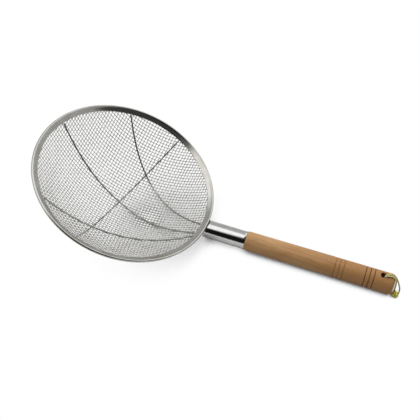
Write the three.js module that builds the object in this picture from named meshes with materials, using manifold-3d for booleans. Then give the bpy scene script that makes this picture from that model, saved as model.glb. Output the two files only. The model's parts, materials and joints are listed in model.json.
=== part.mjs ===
// Wire mesh strainer: a draped mesh bowl in a folded rim, on a ferruled wooden handle with a hanging loop.
// Millimetres. The pieces are made in the bowl's frame, with the rim in the plane z = 0 and the handle
// towards +X, and are then laid on a table at z = 0, as the strainer rests on its bowl and its handle's end.
import * as THREE from 'three';
import { mergeVertices } from 'three/addons/utils/BufferGeometryUtils.js';
import Module from 'manifold-3d';

const wasm = await Module();
wasm.setup();

const degrees = Math.PI / 180;

// Bowl and mesh
const rimRadius = 120; // outermost circle of the rolled lip
const bowlDepth = 58.4; // edge of the folded strip to the bottom, at the middle of the mesh
const bowlFullness = 2.25; // exponent of the profile: 2 is a parabola, more is flatter at the bottom
const meshPitch = 14.6; // spacing of the modelled bars, each in place of three or four fine wires
const meshThickness = 1.4; // two wires, one over the other
const barWidth = 1.1;
const meshTurn = 4 * degrees; // lie of the mesh to the handle
const restFlat = 0.5; // depth of the flat where the bowl stands on the table

// Rim
const hoopWireRadius = 1;
const stripThickness = 0.5;
const stripSlope = 34.5 * degrees; // the strip slopes into the bowl, less steeply than the mesh
const leafLength = 6.65; // hoop centre to the edge of the folded strip
const meshClearance = 0.45; // mesh to each leaf of the strip
const rimSegments = 72;

// Ribs: the fan of three lies on the inside of the mesh, and the cross rib lies under it. Ends are counted
// round the rim from the handle, bow is how far the middle swings in towards the bowl's centre, and sway is an
// S-shaped wander from one side of that line to the other.
const ribRadius = 1;
const ribEndGap = 1.2; // a rib's end to the edge of the strip
const ribSeat = 0.55; // a rib inside the bowl stands over the mesh's straight bars, which cut across the curve
const ribSteps = 24;
const ribs = {
  rib_centre: { from: 165.9 * degrees, to: -9.7 * degrees, bow: -1.3, sway: -1.6, inside: true },
  rib_left: { from: 113.3 * degrees, to: -0.7 * degrees, bow: 3.6, sway: -0.5, inside: true },
  rib_right: { from: 231.5 * degrees, to: -13.6 * degrees, bow: 1.7, sway: 2.7, inside: true },
  rib_cross: { from: 74.4 * degrees, to: -97.4 * degrees, bow: 6, sway: 0.4, inside: false },
};

// Ferrule and handle
const handleLift = 22.2 * degrees; // handle's rise out of the rim plane
const handleDrop = 7; // handle's axis below the rim plane, at the lip
const ferruleRadius = 11.75;
const ferruleWall = 0.8;
const ferruleLength = 56.2;
const tenonLength = 36;
const handleLength = 190.6; // wood that shows, from the ferrule to the tip
const handleFrontRadius = 12.6;
const handleEndRadius = 13.2;
const shoulderChamfer = 0.8;
const tipCorner = 4; // radius of the rounded end
const tipDome = 1.2; // height of the dome on the end
const grooveGroups = [69, 31.6]; // middle of each group of grooves, from the tip
const groovePitch = 5.4;
const grooveWidth = 1.6;
const grooveDepth = 0.5;
const holeFromTip = 15.4;
const holeRadius = 3.9;
const handleSegments = 32;

// Hanging cord: points are [along the handle, sideways, up] from the middle of the hole
const cordRadius = 1;
const stopperRadius = 2.8;
const stopperCentre = [0, 0, -9.7];
const loopKnotRadius = 3.9;
const loopKnotCentre = [18.9, -4.4, -8.9];
const innerRoute = [
  [-0.6, -1.3, -6.4], [-0.6, -1.3, -1], [-0.6, -1.3, 5], [-0.5, -1.4, 10.3], [0.3, -1.55, 12.8],
  [2, -1.5, 14.5], [4.3, -0.7, 15.3], [6.8, 0, 15.4], [9.3, 0.3, 15], [11.7, -0.2, 14.2],
  [14.1, -0.9, 12.8], [15.5, -1.5, 10], [16.3, -1.8, 7], [17, -2.1, 3.8], [17.5, -2.3, 0.6],
  [17.9, -2.5, -2.2], [18.3, -2.8, -4.6],
];
const outerRoute = [
  [-0.6, 1.3, -6.4], [-0.6, 1.3, -1], [-0.6, 1.3, 5], [-0.5, 1.3, 10.3], [0.3, 1.35, 12.8],
  [2, 1.5, 14.7], [4.3, 1.9, 15.5], [7, 2.6, 15.6], [9.7, 2.8, 15.2], [12.2, 2.3, 14.3],
  [14.6, 1.3, 12.6], [17, 0.4, 9.7], [19, -0.5, 6.4], [20.8, -1.3, 3.2], [22.1, -2.1, -0.2],
  [22.8, -2.8, -3.2], [23, -3.4, -6],
];

// Clearance between pieces that touch on the real object
const seatGap = 0.3;

// The rim's folded section, round the hoop's circle
const wrapRadius = hoopWireRadius + seatGap;
const lipRadius = wrapRadius + stripThickness;
const hoopCircle = rimRadius - lipRadius;
const leafInside = meshThickness / 2 + meshClearance;
const leafOutside = leafInside + stripThickness;


// Section of the rim: along the strip from the hoop's centre into the bowl, and out below it
function rimPoint(along, out) {
  return [
    hoopCircle - along * Math.cos(stripSlope) + out * Math.sin(stripSlope),
    -along * Math.sin(stripSlope) - out * Math.cos(stripSlope),
  ];
}

function rimArc(radius, from, to, steps) {
  return Array.from({ length: steps + 1 }, (_, k) => {
    const angle = from + ((to - from) * k) / steps;
    return rimPoint(radius * Math.cos(angle), radius * Math.sin(angle));
  });
}

// The mesh: a flat collar between the strip's leaves, that turns down into the bowl at the strip's edge
const [mouthRadius, mouthZ] = rimPoint(leafLength, 0);

function bowlZ(r) {
  if (r > mouthRadius) return mouthZ + (r - mouthRadius) * Math.tan(stripSlope);
  return mouthZ - bowlDepth * (1 - (r / mouthRadius) ** bowlFullness);
}

// Taken over one millimetre, which rounds the turn at the strip's edge
function bowlSlope(r) {
  const middle = Math.max(r, 0.5);
  return bowlZ(middle + 0.5) - bowlZ(middle - 0.5);
}

// A closed mesh with shared corners, facing outwards
function closed(geometry) {
  const bare = new THREE.BufferGeometry();
  bare.setAttribute('position', geometry.getAttribute('position').clone());
  if (geometry.index) bare.setIndex(geometry.index.clone());
  const merged = mergeVertices(bare, 1e-4);
  const place = merged.getAttribute('position');
  const corner = (i) => new THREE.Vector3().fromBufferAttribute(place, i);
  const kept = [];
  let volume = 0;
  for (let i = 0; i < merged.index.count; i += 3) {
    const [a, b, c] = [0, 1, 2].map((k) => merged.index.getX(i + k));
    if (a === b || b === c || c === a) continue;
    kept.push([a, b, c]);
    volume += corner(a).dot(corner(b).cross(corner(c)));
  }
  merged.setIndex(kept.flatMap(([a, b, c]) => (volume > 0 ? [a, b, c] : [a, c, b])));
  return merged;
}

function solid(geometry) {
  return new wasm.Manifold(new wasm.Mesh({
    numProp: 3,
    vertProperties: new Float32Array(geometry.getAttribute('position').array),
    triVerts: new Uint32Array(geometry.index.array),
  }));
}

function fromSolid(manifold) {
  const { vertProperties, triVerts, numProp } = manifold.getMesh();
  const corners = [];
  for (let i = 0; i < vertProperties.length; i += numProp) corners.push(...vertProperties.slice(i, i + 3));
  const geometry = new THREE.BufferGeometry();
  geometry.setAttribute('position', new THREE.Float32BufferAttribute(corners, 3));
  geometry.setIndex([...triVerts]);
  return closed(geometry);
}

// Revolve [radius, height] points about Z
function turnedAboutZ(profile, segments) {
  const points = profile.map(([r, z]) => new THREE.Vector2(r, z));
  return closed(new THREE.LatheGeometry(points, segments).rotateX(Math.PI / 2));
}

// Revolve [distance along, radius] points about X, with a flat facet underneath
function turnedAboutX(profile, segments) {
  const points = profile.map(([x, r]) => new THREE.Vector2(r, x));
  return closed(new THREE.LatheGeometry(points, segments, Math.PI / segments).rotateZ(-Math.PI / 2));
}

function ringPoints(radius, sides) {
  return Array.from({ length: sides }, (_, k) => {
    const angle = (2 * Math.PI * k) / sides;
    return new THREE.Vector2(radius * Math.cos(angle), radius * Math.sin(angle));
  });
}

function tubeAlong(points, radius, sides, steps) {
  const extrudePath = new THREE.CatmullRomCurve3(points);
  return closed(new THREE.ExtrudeGeometry(new THREE.Shape(ringPoints(radius, sides)), {
    steps, extrudePath, bevelEnabled: false,
  }));
}

// Points on the bowl
function onBowl(x, y) {
  return new THREE.Vector3(x, y, bowlZ(Math.hypot(x, y)));
}

function inwardNormal(x, y) {
  const r = Math.max(Math.hypot(x, y), 1e-6);
  const slope = bowlSlope(r);
  return new THREE.Vector3((-slope * x) / r, (-slope * y) / r, 1).normalize();
}

function bisect(low, high, below) {
  for (let k = 0; k < 50; k += 1) {
    const middle = (low + high) / 2;
    if (below(middle)) low = middle;
    else high = middle;
  }
  return low;
}

function makeRimBand() {
  const outerStart = Math.asin(leafOutside / lipRadius);
  const innerStart = Math.asin(leafInside / wrapRadius);
  const section = [
    rimPoint(leafLength, -leafOutside),
    ...rimArc(lipRadius, -outerStart, outerStart - 2 * Math.PI, 8),
    rimPoint(leafLength, leafOutside),
    rimPoint(leafLength, leafInside),
    ...rimArc(wrapRadius, innerStart - 2 * Math.PI, -innerStart, 6),
    rimPoint(leafLength, -leafInside),
  ];
  return turnedAboutZ([...section, section[0]], rimSegments);
}

function makeRimHoop() {
  const section = ringPoints(hoopWireRadius, 6).map((p) => [hoopCircle + p.x, p.y]);
  return turnedAboutZ([...section, section[0]], rimSegments);
}

// Mesh: a net whose cells keep equal sides as the cloth shears over the bowl
function meridian(count) {
  const radii = [0];
  for (let k = 1; k <= count; k += 1) {
    const start = radii[k - 1];
    const short = (r) => Math.hypot(r - start, bowlZ(r) - bowlZ(start)) < meshPitch;
    radii.push(bisect(start, start + meshPitch, short));
  }
  return radii;
}

function nextNode(a, b, c) {
  let x = a.x + b.x - c.x;
  let y = a.y + b.y - c.y;
  for (let k = 0; k < 12; k += 1) {
    const p = onBowl(x, y);
    const r = Math.max(Math.hypot(x, y), 1e-6);
    const rise = [(bowlSlope(r) * x) / r, (bowlSlope(r) * y) / r];
    const miss = [a, b].map((q) => p.distanceToSquared(q) - meshPitch ** 2);
    const [[ax, ay], [bx, by]] = [a, b].map((q) => [
      2 * (p.x - q.x + (p.z - q.z) * rise[0]),
      2 * (p.y - q.y + (p.z - q.z) * rise[1]),
    ]);
    const scale = ax * by - ay * bx;
    x -= (miss[0] * by - miss[1] * ay) / scale;
    y -= (miss[1] * ax - miss[0] * bx) / scale;
  }
  return onBowl(x, y);
}

function drapedNet(reach) {
  const radii = meridian(reach);
  const net = new Map();
  const key = (i, j) => `${i},${j}`;
  const put = (i, j, p) => net.set(key(i, j), p);
  const get = (i, j) => net.get(key(i, j));
  for (let k = -reach; k <= reach; k += 1) {
    const r = Math.sign(k) * radii[Math.abs(k)];
    put(k, 0, onBowl(r * Math.cos(meshTurn), r * Math.sin(meshTurn)));
    put(0, k, onBowl(-r * Math.sin(meshTurn), r * Math.cos(meshTurn)));
  }
  for (const [si, sj] of [[1, 1], [-1, 1], [-1, -1], [1, -1]]) {
    for (let i = 1; i <= reach; i += 1) {
      for (let j = 1; i + j <= reach * 1.5 && j <= reach; j += 1) {
        const sides = [get(si * i, sj * (j - 1)), get(si * (i - 1), sj * j), get(si * (i - 1), sj * (j - 1))];
        if (sides.every(Boolean)) put(si * i, sj * j, nextNode(...sides));
      }
    }
  }
  return get;
}

function makeMeshDish() {
  const wallLength = Math.hypot(hoopCircle, bowlDepth) * 1.25;
  const reach = Math.ceil(wallLength / meshPitch) + 1;
  const get = drapedNet(reach);
  const edgeRadius = rimPoint(wrapRadius + seatGap, 0)[0];
  const inBowl = (p) => p && Math.hypot(p.x, p.y) < edgeRadius - barWidth;
  const turns = (p, q) => Math.hypot(p.x, p.y) < mouthRadius !== Math.hypot(q.x, q.y) < mouthRadius;
  const half = barWidth / 2;
  const corners = [];
  const quad = (a, b, c, d) => corners.push(a, b, c, a, c, d);
  const bridge = (from, to) => from.forEach((_, k) => {
    const next = (k + 1) % 4;
    quad(from[k], from[next], to[next], to[k]);
  });
  const raised = (p, normal, side) => p.clone().addScaledVector(normal, (side * meshThickness) / 2);

  // Corners of one crossing, and the four-cornered ring on each of its sides
  function crossing(i, j) {
    const p = get(i, j);
    const normal = inwardNormal(p.x, p.y);
    const along = (q, w) => q.clone().sub(w).projectOnPlane(normal).normalize();
    const u = along(get(i + 1, j) ?? p, get(i - 1, j) ?? p);
    const v = along(get(i, j + 1) ?? p, get(i, j - 1) ?? p);
    const reachOut = half / u.clone().cross(v).length();
    const at = (a, b, side) => raised(p.clone().addScaledVector(u, a * reachOut).addScaledVector(v, b * reachOut), normal, side);
    return {
      at,
      uRing: (a) => [at(a, -1, -1), at(a, 1, -1), at(a, 1, 1), at(a, -1, 1)],
      vRing: (b) => [at(-1, b, -1), at(-1, b, 1), at(1, b, 1), at(1, b, -1)],
    };
  }

  // Ring across a bar where it meets a circle round the bowl, unless that is too close to either end
  function ringAt(radius, furthest, from, to, alongU, sign) {
    const at = (t) => [from.x + (to.x - from.x) * t, from.y + (to.y - from.y) * t];
    const outwards = Math.hypot(...at(0)) < radius;
    const t = bisect(0, furthest, (s) => Math.hypot(...at(s)) < radius === outwards);
    const p = onBowl(...at(t));
    if (Math.min(p.distanceTo(from), p.distanceTo(to)) < barWidth * 1.5) return null;
    const normal = inwardNormal(p.x, p.y);
    const run = p.clone().sub(from).multiplyScalar(sign).projectOnPlane(normal).normalize();
    const across = alongU ? normal.clone().cross(run) : run.clone().cross(normal);
    const corner = (a, side) => raised(p.clone().addScaledVector(across, a * half), normal, side);
    return alongU
      ? [corner(-1, -1), corner(1, -1), corner(1, 1), corner(-1, 1)]
      : [corner(-1, -1), corner(-1, 1), corner(1, 1), corner(1, -1)];
  }

  for (let i = -reach; i <= reach; i += 1) {
    for (let j = -reach; j <= reach; j += 1) {
      if (!inBowl(get(i, j))) continue;
      const here = crossing(i, j);
      quad(here.at(-1, -1, 1), here.at(1, -1, 1), here.at(1, 1, 1), here.at(-1, 1, 1));
      quad(here.at(-1, 1, -1), here.at(1, 1, -1), here.at(1, -1, -1), here.at(-1, -1, -1));
      for (const [di, dj, sign] of [[1, 0, 1], [-1, 0, -1], [0, 1, 1], [0, -1, -1]]) {
        const alongU = dj === 0;
        const ring = alongU ? here.uRing(sign) : here.vRing(sign);
        const neighbour = get(i + di, j + dj);
        const open = !inBowl(neighbour);
        if (!open && sign < 0) continue;
        const rings = [ring];
        const add = (next) => next && rings.push(next);
        if (neighbour && turns(get(i, j), neighbour)) add(ringAt(mouthRadius, 1, get(i, j), neighbour, alongU, sign));
        if (!open) add(alongU ? crossing(i + di, j + dj).uRing(-1) : crossing(i + di, j + dj).vRing(-1));
        else if (neighbour) add(ringAt(edgeRadius, 1.5, get(i, j), neighbour, alongU, sign));
        rings.slice(1).forEach((next, k) => bridge(...(sign > 0 ? [rings[k], next] : [next, rings[k]])));
        const cap = rings.at(-1);
        if (open) quad(...(sign > 0 ? cap : [...cap].reverse()));
      }
    }
  }
  return closed(new THREE.BufferGeometry().setFromPoints(corners));
}

// A rib: a rod laid on the mesh between two places on the rim, that stops at the edge of the strip
function makeRib({ from, to, bow, sway, inside }) {
  const [edge] = rimPoint(leafLength, -leafOutside);
  const onEdge = (angle) => new THREE.Vector2(edge * Math.cos(angle), edge * Math.sin(angle));
  const [start, end] = [onEdge(from), onEdge(to)];
  const inwards = start.clone().add(end).negate().normalize();
  const swing = (t) => t * (1 - t) * (4 * bow + 10.4 * sway * (1 - 2 * t));
  const plan = (t) => start.clone().lerp(end, t).addScaledVector(inwards, swing(t));
  const [stopRadius] = rimPoint(leafLength + ribEndGap, 0);
  const first = bisect(-0.2, 0.5, (t) => plan(t).length() > stopRadius);
  const last = bisect(0.5, 1.2, (t) => plan(t).length() < stopRadius);
  const lie = meshThickness / 2 + ribRadius;
  const height = inside ? lie + ribSeat : -lie - seatGap;
  const points = Array.from({ length: ribSteps + 1 }, (_, k) => {
    const { x, y } = plan(first + ((last - first) * k) / ribSteps);
    return onBowl(x, y).addScaledVector(inwardNormal(x, y), height);
  });
  return tubeAlong(points, ribRadius, 6, ribSteps);
}

// Handle: its own frame has X along the wood, from the lip, and Z up
const handleFrame = new THREE.Matrix4()
  .makeRotationY(-handleLift)
  .setPosition(rimRadius, 0, -handleDrop);
const handleTip = ferruleLength + handleLength;
const holePlace = handleTip - holeFromTip;

// Everything that the ferrule's end is coped to: bowl, rim and the space over them
function bowlEnvelope(gap) {
  const under = rimPoint(leafLength, leafOutside + gap);
  const profile = [
    [0, mouthZ - bowlDepth - leafOutside - gap],
    under,
    ...rimArc(lipRadius + gap, Math.asin(leafOutside / lipRadius), Math.PI - stripSlope, 5),
    [rimRadius + gap, handleTip],
    [0, handleTip],
  ];
  return solid(turnedAboutZ(profile, rimSegments).applyMatrix4(handleFrame.clone().invert()));
}

function makeFerrule() {
  const bar = (from, to, radius) => solid(turnedAboutX([[from, 0], [from, radius], [to, radius], [to, 0]], handleSegments));
  const outside = bar(0, ferruleLength, ferruleRadius).subtract(bowlEnvelope(seatGap));
  const inside = bar(ferruleWall, ferruleLength + seatGap, ferruleRadius - ferruleWall)
    .subtract(bowlEnvelope(seatGap + ferruleWall));
  return fromSolid(outside.subtract(inside));
}

function makeHandle() {
  const front = ferruleLength + seatGap;
  const tenonRadius = ferruleRadius - ferruleWall - seatGap;
  const taper = (handleEndRadius - handleFrontRadius) / handleLength;
  const radiusAt = (x) => handleFrontRadius + taper * (x - ferruleLength);
  const grooves = grooveGroups.flatMap((middle) => [-1, 0, 1].map((k) => handleTip - middle + k * groovePitch));
  const cornerCentre = [handleTip - tipDome - tipCorner, handleEndRadius - tipCorner];
  const corner = [90, 67.5, 45, 22.5, 0].map((angle) => [
    cornerCentre[0] + tipCorner * Math.cos(angle * degrees),
    cornerCentre[1] + tipCorner * Math.sin(angle * degrees),
  ]);
  const profile = [
    [ferruleLength - tenonLength, 0],
    [ferruleLength - tenonLength, tenonRadius],
    [front, tenonRadius],
    [front, handleFrontRadius - shoulderChamfer],
    [front + shoulderChamfer, handleFrontRadius],
    ...grooves.flatMap((x) => [
      [x - grooveWidth / 2, radiusAt(x)],
      [x - grooveWidth / 4, radiusAt(x) - grooveDepth],
      [x + grooveWidth / 4, radiusAt(x) - grooveDepth],
      [x + grooveWidth / 2, radiusAt(x)],
    ]),
    ...corner,
    [handleTip - tipDome / 4, cornerCentre[1] / 2],
    [handleTip, 0],
  ];
  const bore = new THREE.CylinderGeometry(holeRadius, holeRadius, 4 * handleEndRadius, 24)
    .rotateX(Math.PI / 2)
    .translate(holePlace, 0, 0);
  return fromSolid(solid(turnedAboutX(profile, handleSegments)).subtract(solid(closed(bore))));
}

function cordPoint([along, side, up]) {
  return new THREE.Vector3(holePlace + along, side, up);
}

function makeStrand(route) {
  const points = route.map(cordPoint);
  const length = new THREE.CatmullRomCurve3(points).getLength();
  return tubeAlong(points, cordRadius, 8, Math.round(length / (2 * cordRadius)));
}

function makeKnot(radius, centre) {
  return closed(new THREE.SphereGeometry(radius, 14, 9)).translate(...cordPoint(centre).toArray());
}

// Materials
const finish = (color, roughness, metalness) => new THREE.MeshStandardMaterial({ color, roughness, metalness });
const polishedSteel = { color: 0xd6d6d2, roughness: 0.12, metalness: 1 };
const wireSteel = { color: 0xb9b9b4, roughness: 0.3, metalness: 1 };
const beech = { color: 0xb88a5e, roughness: 0.55, metalness: 0 };
const yellowCord = { color: 0xb3a24a, roughness: 0.5, metalness: 0 };

function piece(name, geometry, { color, roughness, metalness }) {
  const mesh = new THREE.Mesh(geometry, finish(color, roughness, metalness));
  mesh.name = name;
  return mesh;
}

const meshGeometry = makeMeshDish();
const ferruleGeometry = makeFerrule();
const handleGeometry = makeHandle();

// Rest: lean the bowl until its flat and the handle's end both stand on the table
function cornersOf(geometry, matrix = new THREE.Matrix4()) {
  const place = geometry.getAttribute('position');
  return Array.from({ length: place.count }, (_, i) => new THREE.Vector3().fromBufferAttribute(place, i).applyMatrix4(matrix));
}

function lowest(corners, lean) {
  return Math.min(...corners.map((p) => p.z * Math.cos(lean) - p.x * Math.sin(lean)));
}

const bowlCorners = cornersOf(meshGeometry);
const handleCorners = [ferruleGeometry, handleGeometry].flatMap((g) => cornersOf(g, handleFrame));
const lean = bisect(0, 60 * degrees, (angle) => lowest(handleCorners, angle) > lowest(bowlCorners, angle) + restFlat);
const standing = new THREE.Matrix4().makeRotationY(lean).setPosition(0, 0, -lowest(handleCorners, lean));

// Stand the middle of the bowl's and handle's length over the origin
const bandGeometry = makeRimBand();
const lengths = [...cornersOf(bandGeometry), ...handleCorners].map((p) => p.applyMatrix4(standing).x);
const middle = (Math.min(...lengths) + Math.max(...lengths)) / 2;
const rest = new THREE.Matrix4().makeTranslation(-middle, 0, 0).multiply(standing);

function flattened(geometry) {
  const size = 4 * rimRadius;
  const table = new THREE.BoxGeometry(size, size, size).translate(0, 0, -size / 2);
  const laid = solid(geometry.clone().applyMatrix4(rest));
  return fromSolid(laid.subtract(solid(closed(table)))).applyMatrix4(rest.clone().invert());
}

const strainer = new THREE.Group();
const bowl = new THREE.Group();
bowl.applyMatrix4(rest);
strainer.add(bowl);
bowl.add(
  piece('mesh_dish', flattened(meshGeometry), wireSteel),
  piece('rim_hoop', makeRimHoop(), wireSteel),
  piece('rim_band', bandGeometry, polishedSteel),
  ...Object.entries(ribs).map(([name, rib]) => piece(name, makeRib(rib), wireSteel)),
);

const grip = new THREE.Group();
grip.applyMatrix4(handleFrame);
bowl.add(grip);
grip.add(
  piece('ferrule', ferruleGeometry, polishedSteel),
  piece('handle', handleGeometry, beech),
  piece('stopper_knot', makeKnot(stopperRadius, stopperCentre), yellowCord),
  piece('loop_strand_inner', makeStrand(innerRoute), yellowCord),
  piece('loop_strand_outer', makeStrand(outerRoute), yellowCord),
  piece('loop_knot', makeKnot(loopKnotRadius, loopKnotCentre), yellowCord),
);

export default strainer;
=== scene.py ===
import bpy
import bmesh
import json
import math
from mathutils import Euler, Matrix, Vector


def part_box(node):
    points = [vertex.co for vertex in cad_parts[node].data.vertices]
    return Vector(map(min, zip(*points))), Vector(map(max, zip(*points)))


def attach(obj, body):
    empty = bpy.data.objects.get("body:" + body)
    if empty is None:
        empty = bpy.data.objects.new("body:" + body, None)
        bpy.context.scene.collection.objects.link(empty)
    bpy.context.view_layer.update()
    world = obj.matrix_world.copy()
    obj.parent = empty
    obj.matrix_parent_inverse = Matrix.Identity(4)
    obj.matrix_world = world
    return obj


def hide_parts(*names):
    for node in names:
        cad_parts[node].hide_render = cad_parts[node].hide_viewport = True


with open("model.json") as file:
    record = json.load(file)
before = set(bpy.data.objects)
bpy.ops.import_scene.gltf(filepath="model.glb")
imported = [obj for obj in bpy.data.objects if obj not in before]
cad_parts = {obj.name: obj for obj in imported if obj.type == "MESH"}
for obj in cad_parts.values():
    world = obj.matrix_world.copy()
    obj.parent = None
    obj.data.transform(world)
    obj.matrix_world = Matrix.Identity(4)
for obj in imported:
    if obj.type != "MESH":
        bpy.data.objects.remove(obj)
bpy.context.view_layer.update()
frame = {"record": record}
mm = 0.001
tiny = 1e-6
joint = frame["record"]["behaviour"]["joints"][0]

# sizes that the pieces share, in mm and degrees, as in the part's source
bowl = {
    "rim": 120,  # radius over the folded strip
    "hoop": 118.2,  # radius of the hoop's centre line
    "slope": 34.5,  # of the strip's leaves, down into the bowl
    "leaf": 6.65,  # from the hoop's centre to the strip's edge
    "depth": 58.4,  # of the mesh below the strip's edge
    "fullness": 2.25,  # 2 is a parabola, and more is a fuller bowl
}
grip = {
    "lift": 22.2,  # of the handle over the plane of the rim
    "drop": 7,  # of the handle's start below that plane
    "ferrule": 56.2,  # ferrule's end, tip and hole, along the handle from its start
    "tip": 246.8,
    "hole": 231.4,
}

# frames of the rim and the handle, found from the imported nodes
hoopLow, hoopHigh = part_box("rim_hoop")
rimCentre = (Vector(hoopLow) + Vector(hoopHigh)) / 2
axisLean = math.atan2(joint["axis"][0], joint["axis"][2])
rimLean = math.radians(grip["lift"]) + axisLean
rimFrame = Matrix.Translation(rimCentre) @ Matrix.Rotation(rimLean, 4, "Y")
holeFrame = Matrix.Translation(Vector(joint["pos_m"])) @ Matrix.Rotation(axisLean, 4, "Y")
gripFrame = holeFrame @ Matrix.Translation((-grip["hole"] * mm, 0, 0))
standUp = Matrix.Rotation(-math.pi / 2, 4, "Y")  # turns a lathe's axis from X to Z


def placed(name, data):
    piece = bpy.data.objects.new(name, data)
    bpy.context.scene.collection.objects.link(piece)
    return piece


def toWorld(matrix, point):
    return matrix @ (Vector(point) * mm)


def roundAngles(count, shift=0):
    return [2 * math.pi * (k + shift) / count for k in range(count)]


def between(low, high, below, halvings=40):
    # where a test that holds at low stops holding
    for k in range(halvings):
        middle = (low + high) / 2
        if below(middle):
            low = middle
        else:
            high = middle
    return low


# camera

view = {
    "offset": (279.12, -478.45, 547.74),  # from the rim's centre, mm
    "turn": (41.9695, -1.1042, 20.3256),  # degrees about X, Y and Z
    "focal": 600,  # pixels, as is the picture's width
    "picture": 420,
    "sensor": 36,  # mm
    "nearest": 0.01,  # metres
}


def placeCamera():
    camera = placed("camera", bpy.data.cameras.new("camera"))
    place = rimCentre + Vector(view["offset"]) * mm
    turn = Euler([math.radians(angle) for angle in view["turn"]])
    camera.matrix_world = Matrix.Translation(place) @ turn.to_matrix().to_4x4()
    camera.data.sensor_width = view["sensor"]
    camera.data.lens = view["focal"] / view["picture"] * view["sensor"]
    camera.data.clip_start = view["nearest"]
    bpy.context.scene.camera = camera


placeCamera()
print("camera placed")


# nodes for shaders and geometry

class Knit:
    # a socket, or a whole tree, that arithmetic and node() can be used on
    def __init__(self, tree, socket=None):
        self.tree = tree
        self.socket = socket

    def node(self, kind, settings=None, sockets=None, out=0):
        made = self.tree.nodes.new(kind)
        for name, value in (settings or {}).items():
            setattr(made, name, value)
        for name, value in (sockets or {}).items():
            socket = made.inputs[name]
            if isinstance(value, Knit):
                self.tree.links.new(value.socket, socket)
            else:
                socket.default_value = value
        return Knit(self.tree, made.outputs[out] if len(made.outputs) else None)

    def math(self, operation, *values):
        return self.node("ShaderNodeMath", {"operation": operation}, dict(enumerate(values)))

    def __add__(self, other):
        return self.math("ADD", self, other)

    def __sub__(self, other):
        return self.math("SUBTRACT", self, other)

    def __mul__(self, other):
        return self.math("MULTIPLY", self, other)

    def __truediv__(self, other):
        return self.math("DIVIDE", self, other)

    def __radd__(self, other):
        return self.math("ADD", other, self)

    def __rsub__(self, other):
        return self.math("SUBTRACT", other, self)

    def __rmul__(self, other):
        return self.math("MULTIPLY", other, self)

    def step(self, low, high):
        return self.node("ShaderNodeMapRange", {"interpolation_type": "SMOOTHSTEP"},
                         {"Value": self, "From Min": low, "From Max": high})

    def vector(self, x, y, z):
        return self.node("ShaderNodeCombineXYZ", None, {"X": x, "Y": y, "Z": z})

    def noise(self, place, scale=1, detail=3, rough=0.6):
        return self.node("ShaderNodeTexNoise", None,
                         {"Vector": place, "Scale": scale, "Detail": detail, "Roughness": rough})

    def mix(self, share, first, second):
        return self.node("ShaderNodeMix", {"data_type": "RGBA"}, {0: share, 6: first, 7: second}, 2)

    def bump(self, height, strength, distance):
        return self.node("ShaderNodeBump", None,
                         {"Height": height, "Strength": strength, "Distance": distance})


def newMaterial(name, build, **fixed):
    material = bpy.data.materials.new(name)
    material.use_nodes = True
    tree = material.node_tree
    shader = next(n for n in tree.nodes if n.type == "BSDF_PRINCIPLED")
    for socket, value in fixed.items():
        shader.inputs[socket.replace("_", " ")].default_value = value
    for socket, value in build(Knit(tree)).items():
        tree.links.new(value.socket, shader.inputs[socket])
    return material


def localPlace(knit, matrix):
    # the surface's place in a frame of the object's own, in metres
    place = knit.node("ShaderNodeTexCoord", out="Object")
    place = knit.node("ShaderNodeMapping", {"vector_type": "TEXTURE"}, {
        "Vector": place, "Location": matrix.translation, "Rotation": matrix.to_euler()})
    parts = knit.node("ShaderNodeSeparateXYZ", None, {"Vector": place})
    outs = parts.socket.node.outputs
    return place, Knit(knit.tree, outs[0]), Knit(knit.tree, outs[1]), Knit(knit.tree, outs[2])


def tint(r, g, b):
    return (r, g, b, 1)


# steel: clouds, lines and grain are per metre, and bump is its strength and its depth in metres

rimSteelLook = {
    "pale": tint(0.52, 0.515, 0.49),
    "stained": tint(0.42, 0.405, 0.36),
    "clouds": 45,
    "stainEdge": (0.35, 0.75),
    "dullEdge": (0.5, 0.8),
    "rough": 0.11,
    "lineRough": 0.10,
    "dullRough": 0.08,
    "lines": (5200, 3),  # across the strip, and per radian round it
    "bump": (0.10, 0.00005),
}


def rimSteelNodes(knit):
    look = rimSteelLook
    place, x, y, z = localPlace(knit, rimFrame)
    across, around = look["lines"]
    reach = knit.math("SQRT", x * x + y * y)
    turn = knit.math("ARCTAN2", y, x)
    lines = knit.noise(knit.vector(reach * across, z * across, turn * around), detail=4, rough=0.7)
    cloud = knit.noise(place, look["clouds"], detail=4)
    colour = knit.mix(cloud.step(*look["stainEdge"]), look["pale"], look["stained"])
    rough = look["rough"] + look["lineRough"] * lines + look["dullRough"] * cloud.step(*look["dullEdge"])
    return {"Base Color": colour, "Roughness": rough, "Normal": knit.bump(lines, *look["bump"])}


ferruleSteelLook = {
    "pale": tint(0.60, 0.60, 0.59),
    "dull": tint(0.50, 0.495, 0.475),
    "clouds": 90,
    "dullEdge": (0.4, 0.8),
    "rough": 0.05,
    "lineRough": 0.07,
    "lines": (40, 90),  # along the tube, and per radian round it
    "slice": 0.5,  # of the noise that the lines come from
    "bump": (0.06, 0.00005),
}


def ferruleSteelNodes(knit):
    look = ferruleSteelLook
    place, x, y, z = localPlace(knit, gripFrame)
    along, around = look["lines"]
    turn = knit.math("ARCTAN2", y, z)
    lines = knit.noise(knit.vector(x * along, turn * around, look["slice"]), detail=4, rough=0.7)
    cloud = knit.noise(place, look["clouds"])
    colour = knit.mix(cloud.step(*look["dullEdge"]), look["pale"], look["dull"])
    rough = look["rough"] + look["lineRough"] * lines
    return {"Base Color": colour, "Roughness": rough, "Normal": knit.bump(lines, *look["bump"])}


wireLook = {
    "pale": tint(0.76, 0.755, 0.725),
    "dark": tint(0.58, 0.57, 0.535),
    "clouds": 60,
    "darkEdge": (0.35, 0.7),
    "grain": 1400,
    "rough": 0.26,
    "grainRough": 0.16,
    "bump": (0.08, 0.00004),
}


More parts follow.
